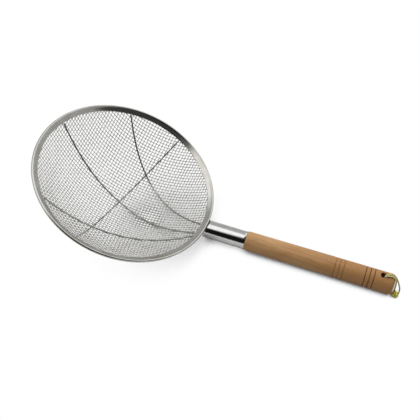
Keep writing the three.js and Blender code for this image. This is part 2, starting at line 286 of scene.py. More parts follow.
def wireNodes(knit):
    look = wireLook
    place = localPlace(knit, rimFrame)[0]
    cloud = knit.noise(place, look["clouds"])
    grain = knit.noise(place, look["grain"], detail=2)
    colour = knit.mix(cloud.step(*look["darkEdge"]), look["pale"], look["dark"])
    rough = look["rough"] + look["grainRough"] * grain
    return {"Base Color": colour, "Roughness": rough, "Normal": knit.bump(grain, *look["bump"])}


rodLook = {
    "pale": tint(0.50, 0.50, 0.47),
    "dark": tint(0.37, 0.365, 0.335),
    "clouds": 70,
    "darkEdge": (0.35, 0.7),
    "far": tint(0.15, 0.148, 0.138),  # painted shade: darker at the far side of the bowl, standing in for the dark surroundings that the rods mirror there
    "paintedShadeWay": (-0.6, 0.8),
    "paintedShadeEdge": (0.0, 0.06),  # metres from the bowl's middle
    "grain": 1100,
    "rough": 0.20,
    "grainRough": 0.18,
    "bump": (0.10, 0.00005),
}


def rodNodes(knit):
    look = rodLook
    place, x, y = localPlace(knit, rimFrame)[:3]
    cloud = knit.noise(place, look["clouds"])
    grain = knit.noise(place, look["grain"])
    colour = knit.mix(cloud.step(*look["darkEdge"]), look["pale"], look["dark"])
    shadeX, shadeY = look["paintedShadeWay"]
    # painted shade: the rods darken towards the far side of the bowl
    colour = knit.mix((x * shadeX + y * shadeY).step(*look["paintedShadeEdge"]), colour, look["far"])
    rough = look["rough"] + look["grainRough"] * grain
    return {"Base Color": colour, "Roughness": rough, "Normal": knit.bump(grain, *look["bump"])}


# wood

woodLook = {
    "pale": tint(0.70, 0.418, 0.192),
    "deep": tint(0.49, 0.25, 0.092),
    "warm": tint(0.55, 0.225, 0.07),
    "fleck": tint(0.33, 0.15, 0.055),
    "burnt": tint(0.16, 0.048, 0.008),
    "sway": (9, 22),  # this and the next five are per metre, along the handle and across it
    "fibre": (55, 1500),
    "patch": (14, 60),
    "streak": (30, 230),
    "figure": (22, 150),
    "pores": (260, 2300),
    "slant": 0.09,  # of streak and figure to the handle's axis
    "figureShift": 4,
    "ringWay": (0.94, 0.34),
    "ringWander": 0.006,
    "ringWaves": 1250,
    "ringSway": 3.2,
    "deepShare": {"rings": 0.08, "fibre": 0.34, "patch": 0.38, "streak": 0.46, "start": -0.19},
    "deepEdge": (0.22, 0.74),
    "tip": 0.42,  # how much deeper the colour is at the end of the handle
    "tipEdge": (0.10, 0.26),  # metres along the handle
    "warmEdge": (0.50, 0.72),
    "warmLevel": 0.55,
    "fleckEdge": (0.60, 0.72),
    "fleckLevel": 0.6,
    "scorch": 700,
    "ragged": 0.5,  # how uneven the burnt edges are
    "burnEdge": (0.1, 0.9),
    "rough": 0.44,
    "fibreRough": 0.16,
    "burnRough": 0.12,
    "fibreHeight": 0.6,
    "poreEdge": (0.58, 0.74),
    "poreHeight": 0.4,
    "bump": (0.22, 0.00012),
}


def woodNodes(knit):
    look = woodLook
    place, x, y, z = localPlace(knit, gripFrame)
    slanted = y + x * look["slant"]

    def grain(name, side=y, shift=0, **kind):
        along, across = look[name]
        return knit.noise(knit.vector(x * along + shift, side * across, z * across), **kind)

    sway = grain("sway", detail=2, rough=0.5)
    fibre = grain("fibre", detail=4, rough=0.65)
    patch = grain("patch", rough=0.5)
    streak = grain("streak", slanted)
    figure = grain("figure", slanted, look["figureShift"], detail=4, rough=0.65)
    pores = grain("pores", detail=2, rough=0.5)
    ringY, ringZ = look["ringWay"]
    ringPlace = y * ringY + z * ringZ + look["ringWander"] * sway
    rings = knit.math("SINE", ringPlace * look["ringWaves"] + sway * look["ringSway"]) * 0.5 + 0.5

    deep = look["deepShare"]
    share = deep["rings"] * rings + deep["fibre"] * fibre + deep["patch"] * patch + deep["streak"] * streak
    share = share + deep["start"] + look["tip"] * x.step(*look["tipEdge"])
    colour = knit.mix(share.step(*look["deepEdge"]), look["pale"], look["deep"])
    colour = knit.mix(figure.step(*look["warmEdge"]) * look["warmLevel"], colour, look["warm"])
    colour = knit.mix(pores.step(*look["fleckEdge"]) * look["fleckLevel"], colour, look["fleck"])

    burn = knit.node("ShaderNodeAttribute", {"attribute_name": "burn"}, out="Fac")
    uneven = knit.noise(place, look["scorch"], detail=2) - 0.5
    edge = burn + look["ragged"] * uneven * burn
    colour = knit.mix(edge.step(*look["burnEdge"]), colour, look["burnt"])
    rough = look["rough"] + look["fibreRough"] * fibre + look["burnRough"] * burn
    height = fibre * look["fibreHeight"] + (1 - pores.step(*look["poreEdge"])) * look["poreHeight"]
    return {"Base Color": colour, "Roughness": rough, "Normal": knit.bump(height, *look["bump"])}


# cord

cordLook = {"pale": tint(0.88, 0.80, 0.42), "deep": tint(0.62, 0.54, 0.22)}
knotLook = {"pale": tint(1, 0.92, 0.16), "deep": tint(0.94, 0.83, 0.09)}
fibreLook = {
    "lay": 5200,  # radians per metre, along the cord and round it
    "fuzz": 2600,
    "layPale": 0.55,
    "fuzzPale": 0.6,
    "paleEdge": (0.2, 0.85),
    "rough": 0.42,
    "fuzzRough": 0.2,
    "layHeight": 0.7,
    "fuzzHeight": 0.3,
    "bump": (0.35, 0.0001),
}


def cordNodes(tints):
    def nodes(knit):
        look = fibreLook
        along = knit.node("ShaderNodeAttribute", {"attribute_name": "along"}, out="Fac")
        across = knit.node("ShaderNodeAttribute", {"attribute_name": "across"}, out="Fac")
        lay = knit.math("SINE", along * look["lay"] + across * look["lay"]) * 0.5 + 0.5
        fuzz = knit.noise(knit.node("ShaderNodeTexCoord", out="Object"), look["fuzz"])
        share = look["layPale"] * lay + look["fuzzPale"] * fuzz
        colour = knit.mix(share.step(*look["paleEdge"]), tints["deep"], tints["pale"])
        rough = look["rough"] + look["fuzzRough"] * fuzz
        height = lay * look["layHeight"] + fuzz * look["fuzzHeight"]
        return {"Base Color": colour, "Roughness": rough, "Normal": knit.bump(height, *look["bump"])}
    return nodes


rimSteel = newMaterial("polished_rim_steel", rimSteelNodes, Metallic=1)
ferruleSteel = newMaterial("polished_ferrule_steel", ferruleSteelNodes, Metallic=1)
wireSteel = newMaterial("woven_wire_steel", wireNodes, Metallic=1)
rodSteel = newMaterial("rib_rod_steel", rodNodes, Metallic=1)
oiledWood = newMaterial("oiled_turned_wood", woodNodes, Specular_IOR_Level=0.4)
cordFibre = newMaterial("twisted_cord_fibre", cordNodes(cordLook), Sheen_Weight=0.2)
knotFibre = newMaterial("tied_cord_fibre", cordNodes(knotLook), Sheen_Weight=0.2)
print("materials made")


# tools for making pieces

def newObject(name, mesh, material=None):
    piece = placed(name, mesh)
    if material:
        mesh.materials.clear()
        mesh.materials.append(material)
    return piece


def dress(piece, body, slot, *nodes):
    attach(piece, body)
    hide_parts(*nodes)


def geometryTree(name, inputs, build):
    tree = bpy.data.node_groups.new(name, "GeometryNodeTree")
    tree.interface.new_socket(name="Geometry", in_out="INPUT", socket_type="NodeSocketGeometry")
    for label, kind in inputs.items():
        tree.interface.new_socket(name=label, in_out="INPUT", socket_type="NodeSocket" + kind)
    tree.interface.new_socket(name="Geometry", in_out="OUTPUT", socket_type="NodeSocketGeometry")
    start = tree.nodes.new("NodeGroupInput")
    end = tree.nodes.new("NodeGroupOutput")
    given = {socket.name: Knit(tree, socket) for socket in start.outputs if socket.name}
    tree.links.new(build(Knit(tree), given).socket, end.inputs[0])
    return tree


def bake(name, source, tree, values, material):
    # runs the tree on a plain mesh and keeps the result as a plain mesh
    maker = newObject(name + "_maker", source)
    modifier = maker.modifiers.new("grow", "NODES")
    modifier.node_group = tree
    values = {**values, "Material": material}
    for item in tree.interface.items_tree:
        if item.in_out == "INPUT" and item.name in values:
            modifier[item.identifier] = values[item.name]
    evaluated = maker.evaluated_get(bpy.context.evaluated_depsgraph_get())
    mesh = bpy.data.meshes.new_from_object(evaluated)
    maker.modifiers.remove(modifier)
    bpy.data.objects.remove(maker)
    mesh.name = name
    return newObject(name, mesh, material)


def finishMesh(name, build, material):
    # a closed mesh, facing outwards and smooth
    mesh = bpy.data.meshes.new(name)
    bmesh.ops.recalc_face_normals(build, faces=build.faces)
    build.to_mesh(mesh)
    build.free()
    mesh.shade_smooth()
    return newObject(name, mesh, material)


def lineMesh(name, lines, attributes=None, closed=False):
    mesh = bpy.data.meshes.new(name)
    points = [p for line in lines for p in line]
    edges = []
    start = 0
    for line in lines:
        edges += [(start + k, start + k + 1) for k in range(len(line) - 1)]
        if closed:
            edges.append((start + len(line) - 1, start))
        start += len(line)
    mesh.from_pydata(points, edges, [])
    for label, values in (attributes or {}).items():
        layer = mesh.attributes.new(label, "FLOAT_VECTOR", "POINT")
        for item, value in zip(layer.data, values):
            item.vector = value
    return mesh


def measured(knit, curve, label):
    # keeps the length along a curve for the material
    length = knit.node("GeometryNodeSplineParameter", out="Length")
    return knit.node("GeometryNodeStoreNamedAttribute", {"data_type": "FLOAT", "domain": "POINT"},
                     {"Geometry": curve, "Name": label, "Value": length})


def swept(knit, line, section, material):
    tube = knit.node("GeometryNodeCurveToMesh", None, {
        "Curve": measured(knit, line, "along"), "Profile Curve": measured(knit, section, "across"),
        "Fill Caps": True})
    tube = knit.node("GeometryNodeRealizeInstances", None, {"Geometry": tube})
    tube = knit.node("GeometryNodeSetShadeSmooth", None, {"Geometry": tube})
    return knit.node("GeometryNodeSetMaterial", None, {"Geometry": tube, "Material": material})


def smoothLine(knit, line, steps):
    line = knit.node("GeometryNodeCurveSplineType", {"spline_type": "CATMULL_ROM"}, {"Curve": line})
    return knit.node("GeometryNodeSetSplineResolution", None, {"Geometry": line, "Resolution": steps})


def roundBar(knit, line, given, radius):
    line = smoothLine(knit, line, given["Steps"])
    section = knit.node("GeometryNodeCurvePrimitiveCircle", None, {
        "Resolution": given["Sides"], "Radius": radius})
    return swept(knit, line, section, given["Material"])


# form of the bowl, in mm from the rim's centre

stripSlope = math.radians(bowl["slope"])


def rimPlace(along, out):
    # (height, radius) in the rim's section: along the strip from the hoop's centre, and out below it
    return (-along * math.sin(stripSlope) - out * math.cos(stripSlope),
            bowl["hoop"] - along * math.cos(stripSlope) + out * math.sin(stripSlope))


mouthHeight, mouthRadius = rimPlace(bowl["leaf"], 0)


def bowlHeight(r):
    # a collar between the strip's leaves, that turns down into the bowl at the strip's edge
    if r > mouthRadius:
        return mouthHeight + (r - mouthRadius) * math.tan(stripSlope)
    return mouthHeight - bowl["depth"] * (1 - (r / mouthRadius) ** bowl["fullness"])


def bowlSlope(r, half=0.5):
    r = max(r, half)
    return (bowlHeight(r + half) - bowlHeight(r - half)) / (2 * half)


def onBowl(x, y):
    return Vector((x, y, bowlHeight(math.hypot(x, y))))


def inward(x, y):
    r = max(math.hypot(x, y), tiny)
    slope = bowlSlope(r)
    return Vector((-slope * x / r, -slope * y / r, 1)).normalized()


# woven cloth

cloth = {
    "pitch": 4.25,  # between wires, along the cloth
    "wire": 1.0,
    "crimp": 0.5,  # how far each wire bends over and under
    "turn": 4,  # degrees, of the weave from the handle
    "tuck": 2.2,  # from the hoop's centre to the cut ends, inside the strip
    "rest": 0.55,  # least height of a wire's middle over the table, in wires
    "steps": 3,
    "sides": 5,
}


def nextKnot(a, b, c, pitch, rounds=6):
    # fourth corner of a cell whose sides stay equal as the cloth shears
    x, y = a.x + b.x - c.x, a.y + b.y - c.y
    for k in range(rounds):
        p = onBowl(x, y)
        r = max(math.hypot(x, y), tiny)
        riseX, riseY = bowlSlope(r) * x / r, bowlSlope(r) * y / r
        rows = []
        for q in (a, b):
            d = p - q
            rows.append((2 * (d.x + d.z * riseX), 2 * (d.y + d.z * riseY), d.length_squared - pitch ** 2))
        (ax, ay, am), (bx, by, bm) = rows
        scale = ax * by - ay * bx
        x -= (am * by - bm * ay) / scale
        y -= (bm * ax - am * bx) / scale
    return onBowl(x, y)


def drapeCloth():
    pitch, turn = cloth["pitch"], math.radians(cloth["turn"])
    limit = bowl["hoop"] + pitch
    radii = [0.0]
    while radii[-1] < limit:
        last = radii[-1]
        radii.append(between(last, last + pitch, lambda r: math.hypot(
            r - last, bowlHeight(r) - bowlHeight(last)) < pitch))
    reach = len(radii) - 1
    knots = {}
    for k in range(-reach, reach + 1):
        r = math.copysign(radii[abs(k)], k)
        knots[k, 0] = onBowl(r * math.cos(turn), r * math.sin(turn))
        knots[0, k] = onBowl(-r * math.sin(turn), r * math.cos(turn))
    for si, sj in ((1, 1), (-1, 1), (-1, -1), (1, -1)):
        for i in range(1, reach + 1):
            for j in range(1, reach + 1):
                a = knots.get((si * i, sj * (j - 1)))
                b = knots.get((si * (i - 1), sj * j))
                c = knots.get((si * (i - 1), sj * (j - 1)))
                if a and b and c and max(math.hypot(q.x, q.y) for q in (a, b)) < limit:
                    knots[si * i, sj * j] = nextKnot(a, b, c, pitch)
    return knots, reach


def clothLines(knots, reach, alongFirst):
    edge = rimPlace(cloth["tuck"], 0)[1]
    over = 1 if alongFirst else -1

    def inside(p):
        return p and math.hypot(p.x, p.y) < edge

    def cutEnd(p, other):
        share = between(0, 1, lambda s: inside(p + (other - p) * s))
        return onBowl(*(p + (other - p) * share).xy)

    def crimpAt(key):
        p = knots[key]
        return inward(p.x, p.y) * (over if sum(key) % 2 == 0 else -over)

    lines, crimps = [], []
    for fixed in range(-reach, reach + 1):
        keys = [(k, fixed) if alongFirst else (fixed, k) for k in range(-reach, reach + 1)]
        kept = [k for k, key in enumerate(keys) if inside(knots.get(key))]
        if len(kept) < 2:
            continue
        before, first, last, after = (knots[keys[k]] for k in (kept[0] - 1, kept[0], kept[-1], kept[-1] + 1))
        line = [cutEnd(first, before)] + [knots[keys[k]] for k in kept] + [cutEnd(last, after)]
        crimp = [Vector()] + [crimpAt(keys[k]) for k in kept] + [Vector()]
        lines.append([toWorld(rimFrame, p) for p in line])
        crimps += [rimFrame.to_3x3() @ c for c in crimp]
    return lineMesh("cloth_lines", lines, {"crimp": crimps})


def buildClothTree(knit, given):
    line = knit.node("GeometryNodeMeshToCurve", None, {"Mesh": given["Geometry"]})
    crimp = knit.node("GeometryNodeInputNamedAttribute", {"data_type": "FLOAT_VECTOR"}, {"Name": "crimp"})
    lift = knit.node("ShaderNodeVectorMath", {"operation": "SCALE"}, {0: crimp, "Scale": given["Crimp"]})
    line = knit.node("GeometryNodeSetPosition", None, {"Geometry": line, "Offset": lift})
    place = knit.node("GeometryNodeInputPosition")
    x, y, z = (knit.node("ShaderNodeSeparateXYZ", None, {"Vector": place}, axis) for axis in "XYZ")
    onTable = knit.vector(x, y, knit.math("MAXIMUM", z, given["Wire"] * given["Rest"]))
    line = knit.node("GeometryNodeSetPosition", None, {"Geometry": line, "Position": onTable})
    return roundBar(knit, line, given, given["Wire"] * 0.5)


clothTree = geometryTree("woven_wires", {
    "Crimp": "Float", "Wire": "Float", "Rest": "Float", "Steps": "Int", "Sides": "Int",
    "Material": "Material"}, buildClothTree)
knots, reach = drapeCloth()
for name, alongFirst in (("mesh_warp", True), ("mesh_weft", False)):
    wires = bake(name, clothLines(knots, reach, alongFirst), clothTree, {
        "Crimp": cloth["crimp"] * mm, "Wire": cloth["wire"] * mm, "Rest": cloth["rest"],
        "Steps": cloth["steps"], "Sides": cloth["sides"]}, wireSteel)
    dress(wires, "strainer", "wire_steel", "mesh_dish")
    print(name, len(wires.data.polygons), "faces")


# rim

def turned(name, section, segments, matrix, material, loop):
    # section points are (along the axis, radius); loop closes a ring, or else both ends are on the axis
    build = bmesh.new()
    rings = []
    for x, r in section:
        if r < tiny:
            rings.append([build.verts.new(toWorld(matrix, (x, 0, 0)))])
            continue
        rings.append([build.verts.new(toWorld(matrix, (x, r * math.sin(a), r * math.cos(a))))
                      for a in roundAngles(segments, 0.5)])
    pairs = list(zip(rings, rings[1:])) + ([(rings[-1], rings[0])] if loop else [])
    for first, second in pairs:
        for k in range(segments):
            n = (k + 1) % segments
            corners = [ring[i % len(ring)] for ring, i in ((first, k), (first, n), (second, n), (second, k))]
            build.faces.new([v for i, v in enumerate(corners) if v not in corners[:i]])
    return finishMesh(name, build, material)


strip = {
    "wire": 1.0,  # radius of the hoop's wire
    "gap": 0.3,
    "thick": 0.5,
    "inside": 1.15,  # from the strip's middle to each leaf
    "edge": 0.2,  # rounding of the leaves' edges
    "edgeShare": 0.3,  # of that, how far the middle of the rounding is cut back
    "leafSteps": 6,
    "lipSteps": 26,
    "wrapSteps": 14,
    "segments": 288,
    "wireSides": 12,
    "wireSegments": 144,
}


def rimArc(radius, start, end, steps):
    return [rimPlace(radius * math.cos(a), radius * math.sin(a))
            for a in (start + (end - start) * k / steps for k in range(steps + 1))]


def stripSection():
    wrap = strip["wire"] + strip["gap"]
    lip = wrap + strip["thick"]
    near, far = strip["inside"], strip["inside"] + strip["thick"]
    leaf, edge = bowl["leaf"], strip["edge"]
    bevel = edge * strip["edgeShare"]
    outer, inner = math.asin(far / lip), math.asin(near / wrap)
    steps = strip["leafSteps"]
    fold = lip * math.cos(outer)
    downLeaf = [fold + (leaf - edge - fold) * k / steps for k in range(1, steps + 1)]
    upLeaf = downLeaf[::-1]
    half = steps // 2  # fewer points are needed inside the fold
    edgeOut = [(leaf - bevel, far - bevel), (leaf, far - edge),
               (leaf, near + edge), (leaf - bevel, near + bevel)]
    points = [rimPlace(d, -far) for d in upLeaf]
    points += rimArc(lip, -outer, outer - 2 * math.pi, strip["lipSteps"])
    points += [rimPlace(d, far) for d in downLeaf]
    points += [rimPlace(d, n) for d, n in edgeOut]
    points += [rimPlace(d, near) for d in upLeaf[:half]]
    points += rimArc(wrap, inner - 2 * math.pi, -inner, strip["wrapSteps"])
    points += [rimPlace(d, -near) for d in downLeaf[half:]]
    points += [rimPlace(d, -n) for d, n in edgeOut[::-1]]
    return points


axisUp = rimFrame @ standUp
rimStrip = turned("rim_strip", stripSection(), strip["segments"], axisUp, rimSteel, True)
dress(rimStrip, "strainer", "polished_steel", "rim_band")
hoopSection = [(strip["wire"] * math.sin(a), bowl["hoop"] + strip["wire"] * math.cos(a))
               for a in roundAngles(strip["wireSides"])]
rimWire = turned("rim_wire", hoopSection, strip["wireSegments"], axisUp, wireSteel, True)
dress(rimWire, "strainer", "wire_steel", "rim_hoop")
print("rim made")


# ribs

rods = {
    "radius": 1.0,
    "gap": 0.6,
    "lie": 2.05,  # from the middle of the cloth to the rod's centre
    "points": 33,
    "steps": 3,
    "sides": 16,
}
ribs = {  # ends in degrees round the rim, bow, sway, and which side of the cloth
    "rib_centre": (165.9, -9.7, -1.3, -1.6, 1),
    "rib_left": (113.3, -0.7, 3.6, -0.5, 1),
    "rib_right": (231.5, -13.6, 1.7, 2.7, 1),
    "rib_cross": (74.4, -97.4, 6.0, 0.4, -1),
}


def rodLine(start, end, bow, sway, side):
    edge = rimPlace(bowl["leaf"], -strip["inside"] - strip["thick"])[1]
    stop = rimPlace(bowl["leaf"] + rods["gap"], 0)[1]
    bowPeak, swayPeak = 4, 10.4  # make bow and sway the rod's greatest offsets
    past = 0.2  # how far beyond the edge the ends are looked for

    def onEdge(angle):
        return Vector((math.cos(math.radians(angle)), math.sin(math.radians(angle)))) * edge

    a, b = onEdge(start), onEdge(end)
    pull = -(a + b).normalized()

    def plan(t):
        return a.lerp(b, t) + pull * t * (1 - t) * (bowPeak * bow + swayPeak * sway * (1 - 2 * t))

    first = between(-past, 0.5, lambda t: plan(t).length > stop)
    last = between(0.5, 1 + past, lambda t: plan(t).length < stop)
    points = []
    for k in range(rods["points"]):
        p = plan(first + (last - first) * k / (rods["points"] - 1))
        points.append(toWorld(rimFrame, onBowl(p.x, p.y) + inward(p.x, p.y) * side * rods["lie"]))
    return points


def buildRodTree(knit, given):
    line = knit.node("GeometryNodeMeshToCurve", None, {"Mesh": given["Geometry"]})
    return roundBar(knit, line, given, given["Radius"])


rodTree = geometryTree("bent_rod", {
    "Radius": "Float", "Steps": "Int", "Sides": "Int", "Material": "Material"}, buildRodTree)
for name, bend in ribs.items():
    rod = bake(name.replace("rib", "rod"), lineMesh("rod_line", [rodLine(*bend)]), rodTree, {
        "Radius": rods["radius"] * mm, "Steps": rods["steps"], "Sides": rods["sides"]}, rodSteel)
    dress(rod, "strainer", "wire_steel", name)
print("ribs made")


# ferrule

tube = {
    "radius": 11.75,
    "wall": 0.8,
    "gap": 0.3,  # to the rim that it is coped to
    "roll": 0.45,  # rounding of the open end
    "rollShare": 0.3,  # of that, how far the middle of the rounding is cut back
    "mouth": 0.05,  # how far the bore opens at that end
    "lead": 4,  # depth of the plain bore there
    "search": (-12, 30),  # along the handle, where the cope can lie
    "capRings": 10,
    "sideRings": 24,
    "boreRings": 6,
    "segments": 128,
    "sharp": 40,  # degrees
}


def copeStart(side, up, gap):
    # where a line along the ferrule first stands clear of the rim
    lip = strip["wire"] + strip["gap"] + strip["thick"]
    far = strip["inside"] + strip["thick"]
    lift = math.radians(grip["lift"])

    def hidden(x):
        px = bowl["rim"] + x * math.cos(lift) - up * math.sin(lift)
        pz = -grip["drop"] + x * math.sin(lift) + up * math.cos(lift)
        r = math.hypot(px, side)
        along = (bowl["hoop"] - r) * math.cos(stripSlope) - pz * math.sin(stripSlope)
        out = (r - bowl["hoop"]) * math.sin(stripSlope) - pz * math.cos(stripSlope)
        if along < 0 or pz > 0:
            return math.hypot(along, out) < lip + gap or (pz > 0 and r < bowl["rim"] + gap)
        return out < max(far, math.sqrt(max(lip ** 2 - along ** 2, 0))) + gap

    return between(*tube["search"], hidden)


def ferruleRings():
    radius, wall, roll, end = tube["radius"], tube["wall"], tube["roll"], grip["ferrule"]
    cap, sides, bores = tube["capRings"], tube["sideRings"], tube["boreRings"]
    bore = radius - wall
    bevel = roll * tube["rollShare"]
    turns = roundAngles(tube["segments"])

    def coped(share, r, gap, least):
        # a ring that stands a share of the way from the coped end to the rolled one
        ring = []
        for a in turns:
            side, up = r * math.sin(a), r * math.cos(a)
            start = max(copeStart(side, up, gap), least)
            ring.append((start + (end - roll - start) * share, side, up))
        return ring

    openEnd = [(-roll, radius), (-bevel, radius - bevel), (0, radius - roll), (-bevel, bore + tube["mouth"]),
               (-tube["lead"], bore)]
    rings = [coped(0, radius * k / cap, tube["gap"], 0) for k in range(cap + 1)]
    rings += [coped(k / sides, radius, tube["gap"], 0) for k in range(1, sides)]
    rings += [[(end + x, r * math.sin(a), r * math.cos(a)) for a in turns] for x, r in openEnd]
    rings += [coped(k / bores, bore, tube["gap"] + wall, wall) for k in range(bores - 1, 0, -1)]
    rings += [coped(0, bore * k / cap, tube["gap"] + wall, wall) for k in range(cap, -1, -1)]
    return rings


def makeFerrule():
    count, weld = tube["segments"], 1e-7
    build = bmesh.new()
    verts = [[build.verts.new(toWorld(gripFrame, p)) for p in ring] for ring in ferruleRings()]
    for first, second in zip(verts, verts[1:]):
        for k in range(count):
            n = (k + 1) % count
            build.faces.new((first[k], first[n], second[n], second[k]))
    bmesh.ops.remove_doubles(build, verts=build.verts, dist=weld)
    bmesh.ops.dissolve_degenerate(build, edges=build.edges, dist=weld)
    ferrule = finishMesh("ferrule_tube", build, ferruleSteel)
    ferrule.data.set_sharp_from_angle(angle=math.radians(tube["sharp"]))
    return ferrule


dress(makeFerrule(), "strainer", "polished_steel", "ferrule")
print("ferrule made")


# handle

wood = {
    "front": 12.6,  # radius at the ferrule
    "end": 13.13,  # radius at the tip
    "tenon": 10.65,
    "tenonLength": 36,
    "gap": 0.3,
    "chamfer": 0.8,
    "chamferAngles": (0.4, 0.8, 1.2, math.pi / 2),
    "corner": 4,  # rounding at the tip
    "cornerSteps": 8,
    "dome": 1.2,
    "domeSteps": 4,
    "rings": (62, 4),  # first ring of the plain wood, and the distance between rings
    "grooves": ((69, 0.55), (31.6, 0.95)),  # middle of each three from the tip, and how dark it is burnt
    "groovePitch": 5.4,
    "grooveWidth": 1.6,
    "grooveDepth": 0.5,
    "grooveClear": 2,  # no plain ring nearer than this
    "grooveRings": (8, 5),  # rings in a groove's width, and rings each side of its middle
    "hole": 3.9,
    "countersink": 0.4,
    "countersinkStart": 0.25,  # below the handle's widest place
    "drillOver": 6,  # how far the drill stands out, and how many countersinks it widens there
    "drillFlare": 7,
    "drillSegments": 48,
    "holeDarkening": 0.8,  # darker inside the hole, and round its edge
    "holeEdgeDarkening": 0.45,
    "holeSkin": 0.12,
    "segments": 128,
    "sharp": 32,  # degrees
}
grooves = {grip["tip"] - middle + k * wood["groovePitch"]: burn  # place along the handle: how dark
           for middle, burn in wood["grooves"] for k in (-1, 0, 1)}


def grooveOff(x, groove):
    # 0 in the middle of a groove, 1 at its edges
    return abs(x - groove) / (wood["grooveWidth"] / 2)


def woodRadius(x):
    share = (x - grip["ferrule"]) / (grip["tip"] - grip["ferrule"])
    radius = wood["front"] + (wood["end"] - wood["front"]) * share
    for groove in grooves:
        off = grooveOff(x, groove)
        if off < 1:
            radius -= wood["grooveDepth"] * (1 + math.cos(math.pi * off)) / 2
    return radius


def handleSection():
    chamfer, corner, dome = wood["chamfer"], wood["corner"], wood["dome"]
    front = grip["ferrule"] + wood["gap"]
    back = grip["ferrule"] - wood["tenonLength"]
    cornerX = grip["tip"] - dome - corner
    cornerR = wood["end"] - corner
    section = [(back, 0), (back, wood["tenon"]), (front, wood["tenon"]), (front, wood["front"] - chamfer)]
    section += [(front + chamfer * (1 - math.cos(a)), wood["front"] - chamfer * (1 - math.sin(a)))
                for a in wood["chamferAngles"]]
    firstRing, apart = wood["rings"]
    inGroove, eachSide = wood["grooveRings"]
    stops = set(range(firstRing, int(cornerX), apart))
    for groove in grooves:
        stops = {x for x in stops if abs(x - groove) > wood["grooveClear"]}
        stops |= {groove + k * wood["grooveWidth"] / inGroove for k in range(-eachSide, eachSide + 1)}
    section += [(x, woodRadius(x)) for x in sorted(stops)]
    steps = wood["cornerSteps"]
    section += [(cornerX + corner * math.sin(a), cornerR + corner * math.cos(a))
                for a in (math.pi / 2 * k / steps for k in range(steps + 1))]
    steps = wood["domeSteps"]
    section += [(grip["tip"] - dome * (1 - k / steps) ** 2, cornerR * (1 - k / steps))
                for k in range(1, steps)]
    return section + [(grip["tip"], 0)]


def drillHole(handle):
    hole, sink = wood["hole"], wood["countersink"]
    reach = wood["end"] + wood["drillOver"]
    flare = wood["end"] - wood["countersinkStart"] - sink
    wide = hole + sink * wood["drillFlare"]
    section = [(-reach, 0), (-reach, wide), (-flare, hole), (flare, hole), (reach, wide), (reach, 0)]
    drill = turned("drill", section, wood["drillSegments"], holeFrame @ standUp, oiledWood, False)
    cut = handle.modifiers.new("hole", "BOOLEAN")
    cut.object = drill
    cut.operation = "DIFFERENCE"
    cut.solver = "EXACT"
    mesh = bpy.data.meshes.new_from_object(handle.evaluated_get(bpy.context.evaluated_depsgraph_get()))
    handle.modifiers.remove(cut)
    bpy.data.objects.remove(drill)
    old = handle.data
    handle.data = mesh
    bpy.data.meshes.remove(old)


def burnWood(mesh):
    burn = mesh.attributes.new("burn", "FLOAT", "POINT")
    toGrip = gripFrame.inverted()
    for vertex in mesh.vertices:
        p = (toGrip @ vertex.co) / mm
        groove = min(grooves, key=lambda x: abs(p.x - x))
        off = grooveOff(p.x, groove)
        inGroove = grooves[groove] * (1 - off ** 2) if off < 1 else 0
        fromHole = math.hypot(p.x - grip["hole"], p.y) - wood["hole"]
        # darker inside the hole and round its edge, in the same colour as the burnt grooves
        atHole = wood["holeDarkening"] if fromHole < wood["holeSkin"] else max(0, wood["holeEdgeDarkening"] - fromHole)
        burn.data[vertex.index].value = max(inGroove, atHole)


def makeHandle():
    handle = turned("handle_wood", handleSection(), wood["segments"], gripFrame, oiledWood, False)
    drillHole(handle)
    handle.data.set_sharp_from_angle(angle=math.radians(wood["sharp"]))
    burnWood(handle.data)
    return handle


dress(makeHandle(), "strainer", "beech", "handle")
print("handle made")


# hanging cord: points are (along the handle, sideways, up) from the middle of the hole, in mm

cord = {
    "diameter": 2.0,
    "lay": 6.0,  # length of one twist
    "yarns": 3,
    "lobe": 0.16,  # how deep the furrows between yarns are, as a share of the radius
    "sides": 18,
    "steps": 8,
    "spacing": 0.45,
    "inner": [(0.8, -0.9, -8.4), (1.3, -1.5, -5.2), (1.5, -1.7, -1), (1.5, -1.7, 5), (1.5, -1.7, 10.7),
              (2.1, -1.75, 13.1), (3.75, -1.7, 14.8), (6, -1.2, 15.4), (8.2, -0.6, 15.3), (10.2, -0.4, 14.9),
              (12.2, -0.4, 14.05), (14.1, -0.9, 12.6), (15.4, -1.5, 10), (16.1, -1.9, 7), (16.6, -2.4, 3.8),
              (16.8, -3, 0.6), (16.9, -3.6, -2.2), (17.1, -4.3, -4.6), (17.7, -5, -6.8)],
    "outer": [(0.9, 0.4, -8.4), (1.5, 0.5, -5.2), (1.8, 0.5, -1), (1.8, 0.5, 5), (1.8, 0.5, 10.9),
              (2.4, 0.6, 13.4), (4.05, 0.9, 15.1), (6.3, 1.5, 15.7), (8.5, 2.2, 15.6), (10.6, 2.4, 15.1),
              (12.6, 2.1, 14.2), (14.8, 1.3, 12.5), (17, 0.4, 9.7), (19, -0.5, 6.4), (20.8, -1.4, 3.2),
              (22.1, -2.3, -0.2), (22.8, -3.3, -3.2), (22.9, -4.4, -6), (22.2, -5.3, -8.3),
              (20.8, -5.9, -9.7)],
    "pathSteps": 6,  # points between two of the route's, for its length
}
tied = {  # middle, size of the trefoil's unit, and thickness of its cord
    "loopKnot": ((19.25, -6, -8.8), 0.94, 4.3),
    "stopperKnot": ((0, 0, -9.7), 0.62, 1.7),
    "points": 48,
}


def sectionObject(name, radius):
    # a closed section with rounded lobes, one for each twisted yarn
    curve = bpy.data.curves.new(name, "CURVE")
    spline = curve.splines.new("POLY")
    spline.points.add(cord["sides"] - 1)
    for point, a in zip(spline.points, roundAngles(cord["sides"])):
        r = radius * (1 - cord["lobe"] * (1 - math.cos(cord["yarns"] * a)) / 2)
        point.co = (r * math.cos(a), r * math.sin(a), 0, 1)
    spline.use_cyclic_u = True
    return placed(name, curve)


